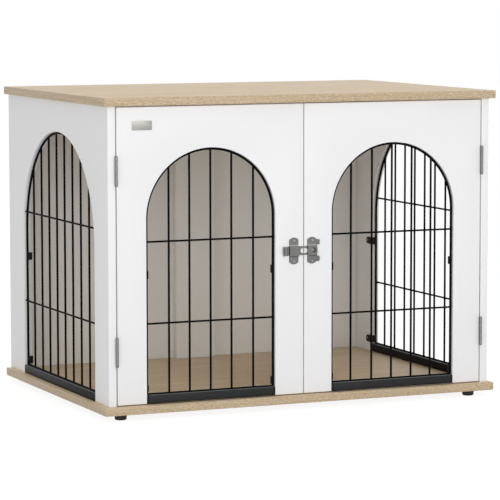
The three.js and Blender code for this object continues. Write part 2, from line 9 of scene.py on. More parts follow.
import bmesh
import bpy
import numpy as np
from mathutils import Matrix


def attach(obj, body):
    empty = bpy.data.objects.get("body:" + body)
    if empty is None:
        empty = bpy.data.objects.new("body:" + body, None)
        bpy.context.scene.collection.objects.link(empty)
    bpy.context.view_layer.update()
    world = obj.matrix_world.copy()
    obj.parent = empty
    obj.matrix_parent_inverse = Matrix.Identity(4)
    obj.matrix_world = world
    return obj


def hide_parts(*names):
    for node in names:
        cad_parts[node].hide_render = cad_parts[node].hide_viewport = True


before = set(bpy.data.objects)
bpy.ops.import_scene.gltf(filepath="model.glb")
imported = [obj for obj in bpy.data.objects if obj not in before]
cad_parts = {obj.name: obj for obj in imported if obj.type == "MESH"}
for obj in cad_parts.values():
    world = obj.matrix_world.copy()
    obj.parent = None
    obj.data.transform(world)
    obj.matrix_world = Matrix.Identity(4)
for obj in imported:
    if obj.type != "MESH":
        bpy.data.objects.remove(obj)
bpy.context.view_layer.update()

MM = 0.001

# ------------------------------------------------------------------ sizes, as in the part's source

WIDTH = 800.0
DEPTH = 568.0
BOARD = 15.0
BACK_BOARD = 12.0
OVERHANG = 10.0
PANEL_HEIGHT = 549.0
FOOT_HEIGHT = 12.0
SEAT = 0.3
BASE_TOP = FOOT_HEIGHT + BOARD
FRONT = OVERHANG - DEPTH / 2
BACK = DEPTH / 2
BODY_DEPTH = DEPTH - OVERHANG
BODY_HALF = WIDTH / 2 - OVERHANG
INNER_HALF = BODY_HALF - BOARD
STILE_WIDTH = 84.0

DOOR_GAP_HINGE = 2.4
DOOR_GAP_TOP = 2.3
DOOR_GAP_CENTRE = 2.0
DOOR_WIDTH = INNER_HALF - DOOR_GAP_HINGE - DOOR_GAP_CENTRE / 2
DOOR_HEIGHT = PANEL_HEIGHT - 2 * DOOR_GAP_TOP

FRAME_WIRE = 4.5
# The bars and cross bars carry their coat and are up to 0.6 mm thicker than the source's bare wires.
BAR_WIRE = 4.0
CROSS_WIRE = 3.6
WELD_SINK = 0.5
WELD_BEAD = (2.1, 2.0, 1.3)
GRILLE_FROM_JAMB = 2.6
RAIL_HEIGHT = 16.0
RAIL_ROUND = 1.5
GRILLE_FOOT = RAIL_HEIGHT + SEAT + FRAME_WIRE / 2
# The grille's foot wire lies this much lower than in the source, in a groove along the rail's top.
FOOT_SINK = 2.0
CAP_THICK = 3.5
CLIP_HEIGHT = 14.5
CLIP_FOOT_REACH = 24.0
CLIP_FOOT_THICK = 1.6
CLIP_ARM_THICK = 3.5
CLIP_SCREW = (2.6, 1.5)
# The cradle swells between its bend and its full thickness, behind the wire, and its lip lies in front.
CRADLE_THICK = 5.9
CRADLE_HEEL = 6.5
CRADLE_BEND = 4.9
CRADLE_FULL = 2.5
CRADLE_LIP = 1.1
CRADLE_LIP_ROUND = 0.33

HINGE_HEIGHT = 53.5
HINGE_CENTRES = {"lower": 100.5, "upper": 431.0}
KNUCKLES = 5
KNUCKLE_RADIUS = 2.7
AXIS_X = BODY_HALF - 15.6
AXIS_Y = FRONT - 3.0
KNUCKLE_GAP = 0.2
PIN_RADIUS = 1.35
PIN_HEAD_RADIUS = 2.2
PIN_HEAD_RISE = 0.9
LEAF_THICK = 0.8
LEAF_DEPTH = 14.0
LEAF_FROM_BOARD = 0.2

LATCH_Z = BASE_TOP + 272.0
GUIDE_CENTRE = -20.8
KEEPER_CENTRE = 16.2
PLATE_WIDTH = 18.6
PLATE_HALF = 25.2
PLATE_THICK = 1.4
PLATE_END_RADIUS = 12.0
PLATE_BACK = 0.2
STRAP_HALF = 9.6
STRAP_RISE = 3.0
RISER_RUN = 1.6
EYE_X = 17.8
EYE_RADIUS = 5.6
BOLT_BACK = 0.4
BOLT_THICK = 1.6
BOLT_HALF = 8.4
BOLT_LEFT = -39.0
BOLT_RIGHT = 27.6
BOLT_CORNER = 5.0
CURL_RADIUS = 3.6
CURL_TURN = math.radians(230)
SLOT_HALF = 7.6
SLOT_RADIUS = 4.5
DOME_X = EYE_X + 1.1
DOME_RADIUS = 4.3
DOME_RISE = 1.1
EAR_BEND = math.radians(35)
EAR_ROOT = 1.4
EAR_LENGTH = 6.0
EAR_HALF = 5.1
EAR_ROUND = 2.2
EAR_CENTRE = 15.6
LATCH_SCREW = (2.4, 1.7)
LATCH_SCREW_X = {"left_door": GUIDE_CENTRE + 0.6, "right_door": KEEPER_CENTRE + 0.9}
LATCH_SCREW_Y = {"upper": 18.7, "lower": -19.7}

NAME_PLATE_FROM_LEFT = 66.5
NAME_PLATE_ABOVE_BASE = 513.0
NAME_PLATE_HALF_WIDTH = 19.5
NAME_PLATE_HALF_HEIGHT = 8.5
NAME_PLATE_THICK = 0.9

FOOT_FROM_END = 40.0
FOOT_FROM_EDGE = 30.0
FOOT_TREAD = 8.4
FOOT_TREAD_ROUND = 2.6

# Bars are placed from the arch's middle, on a door away from the hinges, on a side to the front.
ARCHES = {
    "door": dict(radius=128.9, spring=338.6, level=BOARD - 6.5, cross=(147.2, 297.7),
                 bars=(-82.4, -41.5, 0.5, 42.4, 86.2), clips={"lower": 26.8, "upper": 236.7}),
    "side": dict(radius=200.6, spring=287.7, level=BOARD - 7.05, cross=(144.7, 321.2),
                 bars=(-156.1, -110.2, -66.4, -22.4, 21.3, 65.6, 110.3, 155.0),
                 clips={"lower": 25.6, "upper": 232.0}),
}
SIDE_ARCH_FROM_FRONT = 272.8

# Directions of a shape's own x, y and z: lying as drawn, and stood up to face the front.
LEVEL = ((1, 0, 0), (0, 1, 0), (0, 0, 1))
FACING_FRONT = ((1, 0, 0), (0, 0, 1), (0, -1, 0))

# ------------------------------------------------------------------ surfaces
#
# A shape is a dict: points in mm, quads as rows of four point numbers, flat faces as arrays of point
# numbers and, where a pattern follows the surface, the place of every face corner in metres.


def unit(vectors):
    """Vectors divided by their lengths."""
    return vectors / np.linalg.norm(vectors, axis=-1, keepdims=True)


def grid_quads(rows, cols, wrap_rows=False, wrap_cols=False):
    """Faces of a grid whose point (i, j) has the number i * cols + j.
    Each runs round the points (i, j), (i, j + 1), (i + 1, j + 1) and (i + 1, j)."""
    i = np.arange(rows if wrap_rows else rows - 1)[:, None]
    j = np.arange(cols if wrap_cols else cols - 1)[None, :]
    below, above = i * cols, (i + 1) % rows * cols
    right = (j + 1) % cols
    return np.stack([below + j, below + right, above + right, above + j], axis=-1).reshape(-1, 4)


def outline(corners):
    """Closed counter-clockwise outline through corners (x, y, radius).
    Each corner is a tangent arc: the radius turns evenly from one edge's normal to the next one's."""
    points = np.array([corner[:2] for corner in corners], float)
    before = unit(points - np.roll(points, 1, 0))
    after = unit(np.roll(points, -1, 0) - points)
    loops = []
    for point, a, b, corner in zip(points, before, after, corners):
        radius = corner[2]
        turn = math.atan2(a[0] * b[1] - a[1] * b[0], a @ b)
        steps = max(3, int(abs(turn) * math.sqrt(radius) * 3))
        start = point - a * radius * math.tan(abs(turn) / 2)
        inward = math.copysign(1, turn) * np.array([-a[1], a[0]])
        centre = start + inward * radius
        angle = np.linspace(0, turn, steps + 1)
        spoke = -inward * radius
        x = spoke[0] * np.cos(angle) - spoke[1] * np.sin(angle)
        y = spoke[0] * np.sin(angle) + spoke[1] * np.cos(angle)
        loops.append(centre + np.stack([x, y], axis=1))
    loop = np.concatenate(loops)
    # Two arcs that meet in one point share it.
    return loop[np.linalg.norm(loop - np.roll(loop, 1, 0), axis=1) > 1e-6]


def rectangle(x0, y0, x1, y1, radius=0.8):
    """Rectangle with round corners, counter-clockwise."""
    return outline([(x0, y0, radius), (x1, y0, radius), (x1, y1, radius), (x0, y1, radius)])


def board(loop, thickness, edge, grain=False):
    """Board over a closed outline, from z = 0 to thickness.
    Its rim is the outline drawn in by edge * (1 - sin a) at the height edge * (1 - cos a), a quarter
    circle at each face, and its two faces are the outermost loops."""
    n = len(loop)
    ahead = unit(unit(np.roll(loop, -1, 0) - loop) + unit(loop - np.roll(loop, 1, 0)))
    outward = np.stack([ahead[:, 1], -ahead[:, 0]], axis=1)
    a = np.linspace(0, math.pi / 2, 4)
    inset, rise = edge * (1 - np.sin(a)), edge * (1 - np.cos(a))
    inset = np.concatenate([inset, inset[::-1]])
    height = np.concatenate([rise, thickness - rise[::-1]])
    flat = loop[None] - outward[None] * inset[:, None, None]
    rows = len(height)
    z = np.broadcast_to(height[:, None, None], (rows, n, 1))
    points = np.concatenate([flat, z], axis=2).reshape(-1, 3)
    quads = grid_quads(rows, n, wrap_cols=True)
    caps = [np.arange(n)[::-1], np.arange(n) + (rows - 1) * n]
    shape = dict(points=points, quads=quads, caps=caps)
    if grain:
        # The pattern runs round the rim with the outline's length and lies on the faces as drawn.
        step = np.linalg.norm(np.roll(loop, -1, 0) - loop, axis=1)
        length = np.concatenate([[0], np.cumsum(step)])
        j = np.tile(np.arange(n), rows - 1)
        i = np.repeat(np.arange(rows - 1), n)
        along = np.stack([length[j], length[j + 1], length[j + 1], length[j]], axis=1)
        across = np.stack([height[i], height[i], height[i + 1], height[i + 1]], axis=1)
        rim = np.stack([along, across + 2 * DEPTH], axis=2)
        faces = [points[cap][:, :2] + (0, offset) for cap, offset in zip(caps, (5 * DEPTH, 0))]
        shape["corners"] = np.concatenate([rim.reshape(-1, 2)] + faces) * MM
    return shape


def tube(path, radius, sides=14, closed=False):
    """Round wire along a path that lies flat: at each point a circle radius * (cos t * N + sin t * Z),
    where Z is up and N is square to the path and to Z."""
    if closed:
        ahead = unit(np.roll(path, -1, 0) - np.roll(path, 1, 0))
    else:
        ahead = unit(np.gradient(path, axis=0))
    up = np.array([0.0, 0.0, 1.0])
    side = unit(np.cross(up, ahead))
    t = np.linspace(0, 2 * math.pi, sides, endpoint=False)[None, :, None]
    rings = path[:, None] + radius * (np.cos(t) * side[:, None] + np.sin(t) * up)
    n = len(path)
    caps = [] if closed else [np.arange(sides)[::-1], np.arange(sides) + (n - 1) * sides]
    return dict(points=rings.reshape(-1, 3), quads=grid_quads(n, sides, closed, True), caps=caps)


def straight(x0, y0, x1, y1, z, diameter):
    """Round wire between two points at the height z."""
    return tube(np.array([[x0, y0, z], [(x0 + x1) / 2, (y0 + y1) / 2, z], [x1, y1, z]]), diameter / 2)


def turned(profile, sides=40):
    """Piece turned about z: each (radius, height) of the profile swept round as radius * (cos t, sin t)."""
    radius, height = np.array(profile, float).T
    t = np.linspace(0, 2 * math.pi, sides, endpoint=False)[None, :]
    x, y = radius[:, None] * np.cos(t), radius[:, None] * np.sin(t)
    z = np.broadcast_to(height[:, None], x.shape)
    points = np.stack([x, y, z], axis=-1).reshape(-1, 3)
    return dict(points=points, quads=grid_quads(len(radius), sides, wrap_cols=True), caps=[])


def beads(centres, size):
    """The same ellipsoid at every centre: size * (sin a cos t, sin a sin t, -cos a)."""
    a = np.linspace(0, math.pi, 7)
    ball = turned(np.stack([np.sin(a), -np.cos(a)], axis=1), 10)
    count = len(ball["points"])
    points = np.asarray(centres)[:, None] + ball["points"] * np.array(size)
    quads = ball["quads"][None] + np.arange(len(centres))[:, None, None] * count
    return dict(points=points.reshape(-1, 3), quads=quads.reshape(-1, 4), caps=[])


def rounded_cylinder(radius, length, edge):
    """Turned cylinder from z = 0 to length whose rims are quarter circles."""
    a = np.linspace(0, math.pi / 2, 4)
    rim = np.stack([radius - edge * (1 - np.sin(a)), edge * (1 - np.cos(a))], axis=1)
    top = rim[::-1] * (1, -1) + (0, length)
    return turned(np.concatenate([[[0, 0]], rim, top, [[0, length]]]), 36)


def placed(shape, origin, along, up, outward):
    """The shape with its x, y and z laid along three directions from an origin."""
    axes = np.array([along, up, outward], float)
    return {**shape, "points": np.asarray(shape["points"]) @ axes + np.array(origin, float)}


def piece(name, shapes, material, body, stands_for=()):
    """One object out of closed shapes, riding on a body and standing for CAD nodes."""
    points, faces, smooth, corners, count = [], [], [], [], 0
    for shape in shapes:
        quads, caps = shape["quads"], shape["caps"]
        points.append(shape["points"])
        faces += (quads + count).tolist() + [(cap + count).tolist() for cap in caps]
        smooth += [True] * len(quads) + [False] * len(caps)
        corners.append(shape.get("corners"))
        count += len(shape["points"])
    mesh = bpy.data.meshes.new(name)
    mesh.from_pydata(np.concatenate(points) * MM, [], faces)
    mesh.polygons.foreach_set("use_smooth", smooth)
    if corners[0] is not None:
        layer = mesh.uv_layers.new(name="board_metres")
        layer.data.foreach_set("uv", np.concatenate(corners).astype(np.float32).ravel())
    weld(mesh)
    mesh.set_sharp_from_angle(angle=math.radians(38))
    mesh.materials.append(material)
    obj = bpy.data.objects.new(name, mesh)
    bpy.context.scene.collection.objects.link(obj)
    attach(obj, body)
    if stands_for:
        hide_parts(*stands_for)
    return obj


def weld(mesh):
    """Joins points that lie together, such as a turned piece's poles, and drops the empty faces."""
    work = bmesh.new()
    work.from_mesh(mesh)
    bmesh.ops.remove_doubles(work, verts=work.verts, dist=1e-6)
    work.to_mesh(mesh)
    work.free()


# ------------------------------------------------------------------ materials


def linear(code):
    """Linear colour of an sRGB hex value: ((c + 0.055) / 1.055) ** 2.4, and c / 12.92 near black."""
    srgb = np.array([int(code[i:i + 2], 16) for i in (1, 3, 5)]) / 255
    value = np.where(srgb > 0.04045, ((srgb + 0.055) / 1.055) ** 2.4, srgb / 12.92)
    return (*value.tolist(), 1.0)


def add(tree, kind, sockets=None, **settings):
    """Adds a node. A socket is given a value or another node's output; the rest are the node's settings."""
    node = tree.nodes.new(kind)
    for key, value in settings.items():
        setattr(node, key, value)
    for key, value in (sockets or {}).items():
        if isinstance(value, bpy.types.NodeSocket):
            tree.links.new(value, node.inputs[key])
        else:
            node.inputs[key].default_value = value
    return node


def new_material(name):
    """Empty node material and its tree."""
    material = bpy.data.materials.new(name)
    material.use_nodes = True
    material.node_tree.nodes.clear()
    return material, material.node_tree


def white_board(name, dark, light):
    """White melamine paper pressed on particle board: an even satin white with the faint pearl of the
    press plate, about 1.5 mm across, and a very slight unevenness of tone over a hand's width."""
    material, tree = new_material(name)
    place = add(tree, "ShaderNodeTexCoord").outputs["Object"]
    cloud = add(tree, "ShaderNodeTexNoise", {"Vector": place, "Scale": 9.0, "Detail": 2.0})
    colour = add(tree, "ShaderNodeMix", {0: cloud.outputs["Fac"], 6: linear(dark), 7: linear(light)},
                 data_type="RGBA")
    pearl = add(tree, "ShaderNodeTexNoise", {"Vector": place, "Scale": 1 / (1.5 * MM), "Detail": 1.0})
    gloss = add(tree, "ShaderNodeMapRange", {"Value": cloud.outputs["Fac"], "To Min": 0.40, "To Max": 0.48})
    bump = add(tree, "ShaderNodeBump", {"Height": pearl.outputs["Fac"], "Strength": 0.12,
                                        "Distance": 0.15 * MM})
    shader = add(tree, "ShaderNodeBsdfPrincipled", {
        "Base Color": colour.outputs[2], "Roughness": gloss.outputs["Result"],
        "Normal": bump.outputs["Normal"], "IOR": 1.5})
    add(tree, "ShaderNodeOutputMaterial", {"Surface": shader.outputs["BSDF"]})
    return material


def oak_paper():
    """Light oak print under melamine: fine straight streaks 1 to 3 mm wide that bend slowly over a hand's
    length, broader year bands, and short pores that are a shade browner and slightly pressed in. The edge
    bands carry the same print, a shade greyer and coarser in tone."""
    material, tree = new_material("light_oak_laminate")
    place = add(tree, "ShaderNodeUVMap", uv_map="board_metres").outputs["UV"]

    # The drift bends every streak by up to 12 mm.
    slow = add(tree, "ShaderNodeMapping", {"Vector": place, "Scale": (2.0, 7.0, 1.0)}).outputs["Vector"]
    drift = add(tree, "ShaderNodeTexNoise", {"Vector": slow, "Scale": 1.0, "Detail": 2.0}).outputs["Color"]
    bend = add(tree, "ShaderNodeVectorMath", {0: drift, 1: (0.0, 0.024, 0.0)}, operation="MULTIPLY")
    bent = add(tree, "ShaderNodeVectorMath", {0: place, 1: bend.outputs["Vector"]}).outputs["Vector"]

    # Noise stretched to one over these scales in metres, and the range of it that is brought to 0 to 1.
    # Pores are drawn 0.9 mm wide, about three times the real ones, so that they show.
    patterns = {}
    for name, scale, detail, low, high in (
            ("bands", (1.4, 38.0, 1.0), 2.0, 0.35, 0.68),
            ("streaks", (9.0, 420.0, 1.0), 4.0, 0.3, 0.7),
            ("pores", (45.0, 1 / (0.9 * MM), 1.0), 2.0, 0.54, 0.7),
            ("flecks", (150.0, 620.0, 1.0), 3.0, 0.38, 0.62)):
        scaled = add(tree, "ShaderNodeMapping", {"Vector": bent, "Scale": scale}).outputs["Vector"]
        noise = add(tree, "ShaderNodeTexNoise", {"Vector": scaled, "Scale": 1.0, "Detail": detail,
                                                 "Roughness": 0.6}).outputs["Fac"]
        patterns[name] = add(tree, "ShaderNodeMapRange", {"Value": noise, "From Min": low,
                                                          "From Max": high}).outputs["Result"]
    streaks, pores = patterns["streaks"], patterns["pores"]
    # The edge bands' part of the pattern lies beyond the faces', as board() sets it.
    height = add(tree, "ShaderNodeSeparateXYZ", {"Vector": place}).outputs["Y"]
    rim = add(tree, "ShaderNodeMath", {0: height, 1: (2 * DEPTH + BOARD / 2) * MM, 2: BOARD * MM},
              operation="COMPARE").outputs[0]
    rim_flecks = add(tree, "ShaderNodeMath", {0: rim, 1: patterns["flecks"]}, operation="MULTIPLY")
    wood = linear("#EBDABC")
    for pattern, depth, tint in (
            (streaks, 0.66, "#B89973"), (patterns["bands"], 0.4, "#C7A87E"), (pores, 0.5, "#886E4E"),
            (rim, 0.12, "#8C7A61"), (rim_flecks.outputs[0], 0.56, "#836F50")):
        share = add(tree, "ShaderNodeMath", {0: pattern, 1: depth}, operation="MULTIPLY").outputs[0]
        wood = add(tree, "ShaderNodeMix", {0: share, 6: wood, 7: linear(tint)}, data_type="RGBA").outputs[2]
    gloss = add(tree, "ShaderNodeMapRange", {"Value": streaks, "To Min": 0.42, "To Max": 0.56})
    bump = add(tree, "ShaderNodeBump", {"Height": pores, "Strength": 0.25, "Distance": 0.2 * MM}, invert=True)
    shader = add(tree, "ShaderNodeBsdfPrincipled", {
        "Base Color": wood, "Roughness": gloss.outputs["Result"],
        "Normal": bump.outputs["Normal"], "IOR": 1.5})
    add(tree, "ShaderNodeOutputMaterial", {"Surface": shader.outputs["BSDF"]})
    return material


def speckled(name, dark, light, roughness, grit, metallic=0.0, strength=0.2, specular=0.5, painted_highlight=None):
    """Finish whose colour drifts between two near shades and whose surface has a grit of that size in mm.
    painted_highlight is a painted highlight: the lighter colour given to bends and edges that look up, as if
    lit by the lamps above."""
    material, tree = new_material(name)
    place = add(tree, "ShaderNodeTexCoord").outputs["Object"]
    cloud = add(tree, "ShaderNodeTexNoise", {"Vector": place, "Scale": 45.0, "Detail": 3.0})
    colour = add(tree, "ShaderNodeMix", {0: cloud.outputs["Fac"], 6: linear(dark), 7: linear(light)},
                 data_type="RGBA").outputs[2]
    # Painted highlight: surfaces that face up are mixed towards a lighter colour, as if lit from above.
    if painted_highlight:
        normal = add(tree, "ShaderNodeNewGeometry").outputs["Normal"]
        tilt = add(tree, "ShaderNodeSeparateXYZ", {"Vector": normal}).outputs["Z"]
        share = add(tree, "ShaderNodeMapRange", {"Value": tilt, "From Min": 0.35, "From Max": 0.8})
        colour = add(tree, "ShaderNodeMix", {0: share.outputs["Result"], 6: colour, 7: linear(painted_highlight)},
                     data_type="RGBA").outputs[2]
    grain = add(tree, "ShaderNodeTexNoise", {"Vector": place, "Scale": 1000 / grit, "Detail": 2.0})
    gloss = add(tree, "ShaderNodeMapRange", {"Value": grain.outputs["Fac"], "To Min": roughness - 0.06,
                                             "To Max": roughness + 0.08})
    bump = add(tree, "ShaderNodeBump", {"Height": grain.outputs["Fac"], "Strength": strength,
                                        "Distance": grit * 0.1 * MM})
    shader = add(tree, "ShaderNodeBsdfPrincipled", {
        "Base Color": colour, "Roughness": gloss.outputs["Result"],
        "Normal": bump.outputs["Normal"], "Metallic": metallic, "Specular IOR Level": specular})
    add(tree, "ShaderNodeOutputMaterial", {"Surface": shader.outputs["BSDF"]})
    return material


MELAMINE = white_board("white_melamine_board", "#ECECED", "#F0F0F1")
# The back boards and stile are a warmer, slightly duller white: painted shade inside the cabinet and painted
# warm light bounced from the oak floor.
BACK_PAINTED_SHADE = white_board("white_back_board_painted_shade", "#E4E2DE", "#E8E6E2")
OAK = oak_paper()
# Polyester powder coat: cures with a fine orange peel that breaks up the highlight on the wires.
POWDER_COAT = speckled("black_powder_coat", "#0A0A0B", "#101012", 0.55, 0.8, specular=0.03)
# The same coat on the flat rails, a little glossier, with a painted highlight along its top edge. The side
# rails are seen at a low angle, where the gloss would turn them grey.
RAIL_COAT = speckled("black_powder_coat_rail", "#0D0E10", "#131518", 0.42, 0.8, specular=0.3,
                     painted_highlight="#6A6C70")
SIDE_RAIL_COAT = speckled("black_powder_coat_side_rail", "#0D0E10", "#131518", 0.42, 0.8, specular=0.08,
                          painted_highlight="#6A6C70")
# Moulded ABS with a fine spark-eroded texture.
ABS = speckled("black_moulded_abs", "#121213", "#1A1A1B", 0.55, 0.5, specular=0.2)
# Zinc plating on pressed steel: a soft grey gloss, a little cloudy, with a painted highlight on the upper
# bends.
ZINC = speckled("zinc_plated_steel", "#646463", "#787876", 0.4, 0.6, metallic=1.0, strength=0.1,
                painted_highlight="#F0F0EE")
# The hinges' plating, a shade lighter than the latch's.
HINGE_ZINC = speckled("zinc_plated_hinge", "#787877", "#8A8A88", 0.4, 0.6, metallic=1.0, strength=0.1)
# Brushed nickel of the bare name plate.
NICKEL = speckled("brushed_nickel_plate", "#8E8D8A", "#A5A4A0", 0.34, 0.4, metallic=1.0, strength=0.15)
# Screws with a clear zinc plating, their colour painted lighter than the pressings' zinc: a painted highlight
# on the heads beside the greyer pressings.
SCREW = speckled("zinc_screw_painted_highlight", "#A4A4A2", "#B4B4B2", 0.28, 0.4, metallic=1.0, strength=0.05)
# Moulded rubber of the feet: matte, slightly dusty.
RUBBER = speckled("black_moulded_rubber", "#131313", "#1E1E1E", 0.75, 0.7)

# ------------------------------------------------------------------ boards


def arch_outline(width, height, centre, radius, spring):
    """Outline of a board whose opening stands on its lower edge and ends in a half circle."""
    top = spring + radius
    return outline([
        (0, 0, 0.8), (centre - radius, 0, 0.8), (centre - radius, top, radius),
        (centre + radius, top, radius), (centre + radius, 0, 0.8), (width, 0, 0.8),
        (width, height, 0.8), (0, height, 0.8)])


def tabletop_and_base():
    """The two oak boards, their grain along the table's width and their bands' grain along the edges."""
    loop = rectangle(-WIDTH / 2, -DEPTH / 2, WIDTH / 2, DEPTH / 2, 1.5)
    for node, z in (("tabletop", BASE_TOP + PANEL_HEIGHT), ("base_board", FOOT_HEIGHT)):
        shape = placed(board(loop, BOARD, 1.0, grain=True), (0, 0, z), *LEVEL)
        piece(f"oak_{node}", [shape], OAK, "cabinet", [node])


def back_boards():
    """Two white boards behind a centre stile."""
    top = PANEL_HEIGHT - SEAT
    for end, x0, x1 in (("left", SEAT - INNER_HALF, -SEAT / 2), ("right", SEAT / 2, INNER_HALF - SEAT)):
        shape = board(rectangle(x0, SEAT, x1, top), BACK_BOARD, 0.5)
        shape = placed(shape, (0, BACK, BASE_TOP), *FACING_FRONT)
        piece(f"white_{end}_back", [shape], BACK_PAINTED_SHADE, "cabinet", [f"{end}_back_panel"])
    shape = board(rectangle(-STILE_WIDTH / 2, SEAT, STILE_WIDTH / 2, top), BOARD, 0.6)
    shape = placed(shape, (0, BACK - BACK_BOARD - SEAT, BASE_TOP), *FACING_FRONT)
    piece("white_centre_stile", [shape], BACK_PAINTED_SHADE, "cabinet", ["back_centre_stile"])


# ------------------------------------------------------------------ arched boards and their fittings


def grille_shapes(arch):
    """Bent frame wire, upright bars, two cross bars on their outer side, and a bead of weld at each
    crossing."""
    centre, spring, z = arch["centre"], arch["spring"], arch["level"]
    reach = arch["radius"] - GRILLE_FROM_JAMB
    foot = GRILLE_FOOT - FOOT_SINK
    left, right, top = centre - reach, centre + reach, spring + reach
    loop = outline([(left, foot, 3.0), (right, foot, 3.0), (right, top, reach), (left, top, reach)])
    path = np.column_stack([loop, np.full(len(loop), z)])
    shapes = [tube(path, FRAME_WIRE / 2, 18, closed=True)]
    bars = centre + arch["sense"] * np.array(arch["bars"])
    tops = spring + np.sqrt(reach ** 2 - (bars - centre) ** 2)
    shapes += [straight(x, foot, x, y, z, BAR_WIRE) for x, y in zip(bars, tops)]
    level = z + (BAR_WIRE + CROSS_WIRE) / 2 - WELD_SINK
    # The beads on the foot wire sit where a bar leaves it.
    welds = [(x, foot + 2.2, z) for x in bars]
    for height in arch["cross"]:
        half = math.sqrt(reach ** 2 - max(0, height - spring) ** 2)
        shapes.append(straight(centre - half, height, centre + half, height, level, CROSS_WIRE))
        ends = [centre - half, centre + half]
        welds += [(x, height, level - CROSS_WIRE / 2 + 0.2) for x in [*bars, *ends]]
    shapes.append(beads(welds, WELD_BEAD))
    return shapes


def rail_shape(arch):
    """Rail with rounded long edges, from cap to cap, and a groove in its top for the grille's foot."""
    length = 2 * (arch["radius"] - CAP_THICK - 2 * SEAT)
    half, top = BOARD / 2, RAIL_HEIGHT / 2
    low = top - FOOT_SINK - SEAT
    x0, x1 = (half - arch["level"] + side * (FRAME_WIRE / 2 + SEAT) for side in (-1, 1))
    profile = outline([
        (-half, -top, RAIL_ROUND), (half, -top, RAIL_ROUND), (half, top, RAIL_ROUND), (x1, top, 0.4),
        (x1, low, 1.2), (x0, low, 1.2), (x0, top, 0.4), (-half, top, RAIL_ROUND)])
    start = (arch["centre"] - length / 2, RAIL_HEIGHT / 2, BOARD / 2)
    return placed(board(profile, length, 0.2), start, (0, 0, -1), (0, 1, 0), (1, 0, 0))


def cap_shape(arch, side):
    """End cap of the rail: a plate against the jamb."""
    half, top = BOARD / 2, RAIL_HEIGHT / 2
    plate = board(rectangle(-half, -top, half, top, RAIL_ROUND), CAP_THICK, 0.5)
    x = arch["centre"] + side * (arch["radius"] - SEAT)
    return placed(plate, (x, RAIL_HEIGHT / 2, BOARD / 2), (0, 0, side), (0, 1, 0), (-side, 0, 0))


def clip_shapes(arch, side, height):
    """Clip on a jamb: a round-ended foot behind the board, an arm along the jamb, and a cradle that
    reaches round the frame wire from behind."""
    jamb = arch["centre"] + side * arch["radius"]
    level = arch["level"]
    low, high = height - CLIP_HEIGHT / 2, height + CLIP_HEIGHT / 2
    cradle_low = max(low, GRILLE_FOOT + FRAME_WIRE / 2 + SEAT)
    back = -SEAT - CLIP_FOOT_THICK
    half = CLIP_HEIGHT / 2
    heel, round_end = CLIP_ARM_THICK - 0.8, half - 0.05
    foot = outline([(-CLIP_FOOT_REACH, -half, round_end), (heel, -half, 0.8), (heel, half, 0.8),
                    (-CLIP_FOOT_REACH, half, round_end)])
    groove = FRAME_WIRE / 2 + SEAT
    lip = GRILLE_FROM_JAMB + groove
    arm = outline([(SEAT, back, 0.3), (CLIP_ARM_THICK, back, 0.9), (CLIP_ARM_THICK, level - groove, 0.3),
                   (SEAT, level - groove, 0.3)])
    cradle = outline([
        (SEAT, level - CRADLE_HEEL, 0.3), (CLIP_ARM_THICK, level - CRADLE_HEEL, 0.3),
        (CLIP_ARM_THICK, level - CRADLE_BEND, 1.2), (CRADLE_THICK, level - CRADLE_FULL, 1.0),
        (CRADLE_THICK, level + CRADLE_LIP, CRADLE_LIP_ROUND), (lip, level + CRADLE_LIP, CRADLE_LIP_ROUND),
        (lip, level - groove, groove - 0.1), (SEAT, level - groove, 0.3)])
    inward = (-side, 0, 0)
    foot = board(foot, CLIP_FOOT_THICK, 0.4)
    shapes = [placed(foot, (jamb, height, back), inward, (0, -side, 0), (0, 0, 1))]
    # Each profile is drawn out upward on one jamb and downward on the other, so that no face looks inward.
    for loop, start in ((arm, low), (cradle, cradle_low)):
        origin = (jamb, start if side > 0 else high, 0)
        shapes.append(placed(board(loop, high - start, 0.25), origin, inward, (0, 0, 1), (0, side, 0)))
    return shapes


def arched_board(name, kind, body, width, height, centre, sense, origin, along, outward, jambs):
    """A board with its grille, rail, caps and clips, stood up at its place. sense is 1 where the bars'
    places count along the board's width and -1 where they count back."""
    arch = {**ARCHES[kind], "centre": centre, "sense": sense}

    def stand(*shapes):
        return [placed(shape, origin, along, (0, 0, 1), outward) for shape in shapes]

    loop = arch_outline(width, height, centre, arch["radius"], arch["spring"])
    piece(f"white_{name}", stand(board(loop, BOARD, 0.6)), MELAMINE, body,
          [f"{name}_panel"])
    piece(f"wire_{name}", stand(*grille_shapes(arch)), POWDER_COAT, body, [f"{name}_grille"])
    rail_coat = RAIL_COAT if kind == "door" else SIDE_RAIL_COAT
    piece(f"steel_{name}_rail", stand(rail_shape(arch)), rail_coat, body, [f"{name}_rail"])
    for jamb, side in zip(jambs, (-1, 1)):
        piece(f"moulded_{name}_cap_{jamb}", stand(cap_shape(arch, side)), ABS, body,
              [f"{name}_rail_cap_{jamb}"])
        for level, z in arch["clips"].items():
            clip = f"{name}_clip_{level}_{jamb}"
            piece(f"moulded_{clip}", stand(*clip_shapes(arch, side, z)), ABS, body, [clip])
            x = centre + side * (arch["radius"] + CLIP_FOOT_REACH - CLIP_HEIGHT / 2)
            seat = (x, z, 0.1 - SEAT - CLIP_FOOT_THICK)
            screw = placed(pan_head(*CLIP_SCREW), seat, (1, 0, 0), (0, -1, 0), (0, 0, -1))
            piece(f"screw_{clip}", stand(screw), ZINC, body)


